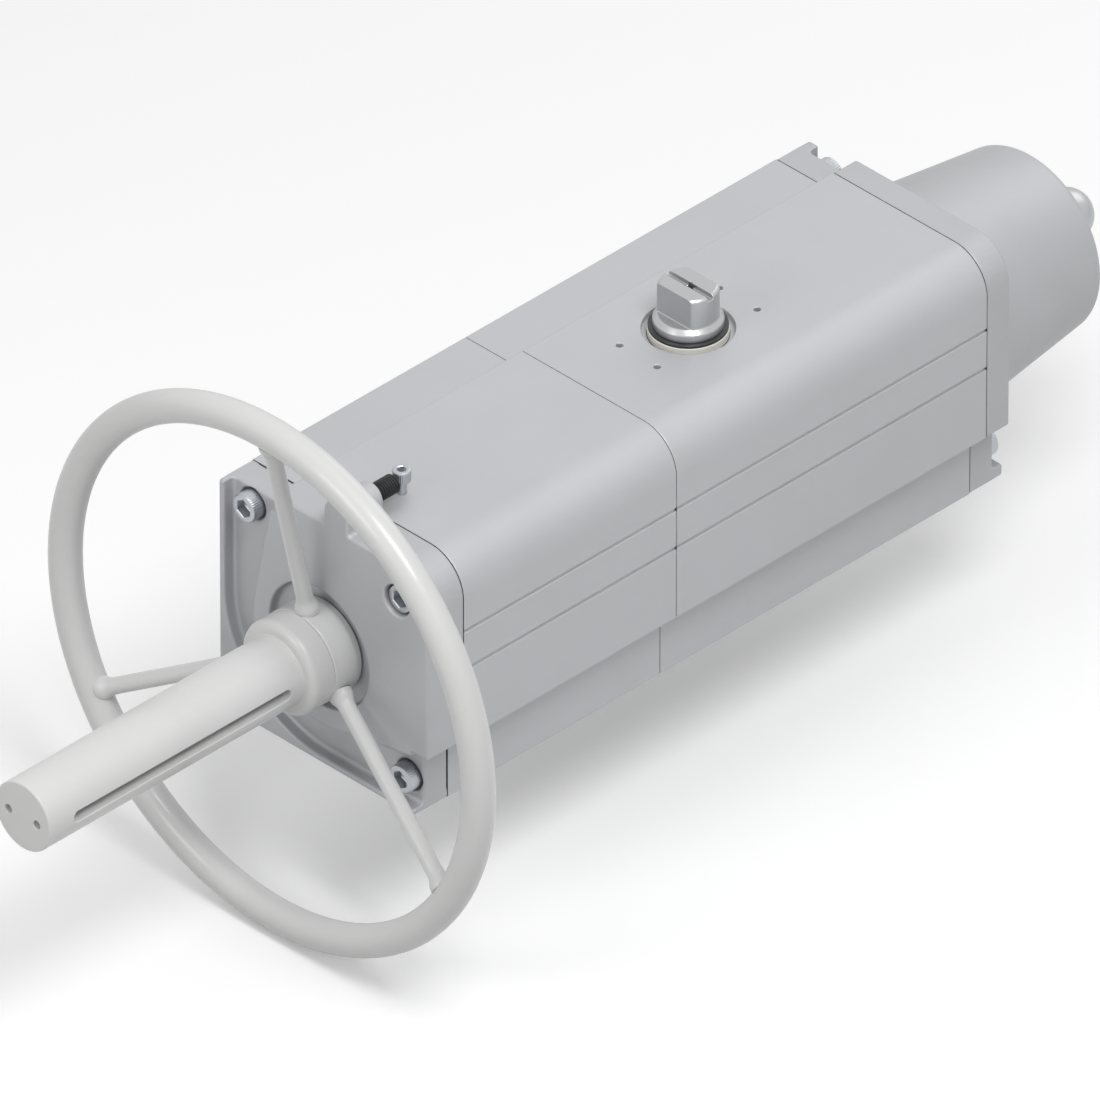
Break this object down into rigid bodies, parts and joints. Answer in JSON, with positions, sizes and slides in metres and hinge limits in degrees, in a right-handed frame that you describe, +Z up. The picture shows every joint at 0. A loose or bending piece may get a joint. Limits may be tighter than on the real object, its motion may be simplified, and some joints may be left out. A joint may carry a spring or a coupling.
{
  "type": "pneumatic quarter-turn actuator",
  "caption": "Spring-return quarter-turn pneumatic actuator with a handwheel override, flange mounts below and a flattened shaft end on top.",
  "frame": {"origin": "centre of the mounting flange's bolt circle, on the mounting face, on the axis of the output shaft", "axes": "+Z up along the output shaft, +X along the pistons away from the handwheel, +Y towards the back face with the valve ports"},
  "size_m": [0.85, 0.35, 0.35],
  "materials": {
    "anodised_body": "pale silver anodised extrusion, satin",
    "cast_cover": "fine-blasted cast aluminium, sealed",
    "coated_wheel": "pale grey powder coat",
    "zinc_screw": "bright zinc plated steel",
    "dark_steel": "black oxide steel",
    "machined_steel": "turned and milled steel",
    "piston_metal": "turned aluminium",
    "bearing_bronze": "sintered bronze",
    "bearing_polymer": "ivory bearing polymer",
    "seal_rubber": "black nitrile",
    "spring_steel": "oil-tempered spring wire"
  },
  "bodies": {
    "housing": {"housing": "anodised_body", "end_cylinder": "anodised_body", "wheel_cover": "cast_cover", "spring_cover": "cast_cover", "dome_cap": "machined_steel", "housing_seal": "seal_rubber", "wheel_cover_seal": "seal_rubber", "spring_cover_seal": "seal_rubber", "wheel_cover_screws": "zinc_screw", "spring_cover_screws": "zinc_screw", "upper_bush": "bearing_bronze", "lower_bush": "bearing_bronze", "upper_shaft_seal": "seal_rubber", "lower_shaft_seal": "seal_rubber", "shaft_washer": "bearing_polymer", "hub_bush": "bearing_bronze", "front_thrust_bearing": "machined_steel", "rear_thrust_bearing": "machined_steel", "bearing_retainer": "machined_steel", "spindle_key": "machined_steel", "stop_stud": "dark_steel", "stop_screw": "zinc_screw", "outer_spring": "spring_steel", "inner_spring": "spring_steel", "spring_seat": "machined_steel"},
    "pistons": {"wheel_side_piston": "piston_metal", "spring_side_piston": "piston_metal", "upper_yoke_bar": "machined_steel", "lower_yoke_bar": "machined_steel", "piston_screws": "zinc_screw", "wheel_side_seal": "seal_rubber", "spring_side_seal": "seal_rubber", "wheel_side_guide_band": "bearing_polymer", "spring_side_guide_band": "bearing_polymer", "yoke_pin": "machined_steel", "spring_plate": "machined_steel"},
    "roller": {"yoke_roller": "machined_steel"},
    "shaft": {"drive_shaft": "machined_steel", "yoke_lever": "machined_steel", "lever_key": "machined_steel", "shaft_circlip": "dark_steel"},
    "handwheel": {"handwheel_rim": "coated_wheel", "handwheel_spokes": "coated_wheel", "handwheel_hub": "coated_wheel", "hub_key": "machined_steel", "spindle_guard": "coated_wheel", "spindle_nut": "bearing_bronze"},
    "spindle": {"spindle": "machined_steel", "thrust_foot": "machined_steel"}
  },
  "joints": [
    {"name": "piston_slide", "type": "slide", "parent": "housing", "child": "pistons", "axis": [1, 0, 0], "range_m": [0, 0.0784], "stiffness_N_per_m": 4000, "springref_m": -0.05, "deforming": ["outer_spring", "inner_spring"]},
    {"name": "shaft_turn", "type": "hinge", "parent": "housing", "child": "shaft", "pos_m": [0, 0, 0.082], "axis": [0, 0, 1], "range_deg": [-90, 0]},
    {"name": "roller_spin", "type": "hinge", "parent": "pistons", "child": "roller", "pos_m": [-0.0392, 0.042, 0.082], "axis": [0, 0, 1], "continuous": true},
    {"name": "handwheel_spin", "type": "hinge", "parent": "housing", "child": "handwheel", "pos_m": [-0.2892, 0.014, 0.082], "axis": [1, 0, 0], "range_deg": [0, 3690]},
    {"name": "spindle_slide", "type": "slide", "parent": "housing", "child": "spindle", "axis": [1, 0, 0], "range_m": [0, 0.0513]}
  ],
  "couplings": [
    {"joint": "shaft_turn", "follows": "piston_slide", "rad_per_m": -20.036},
    {"joint": "spindle_slide", "follows": "handwheel_spin", "m_per_rad": 0.00079577}
  ]
}
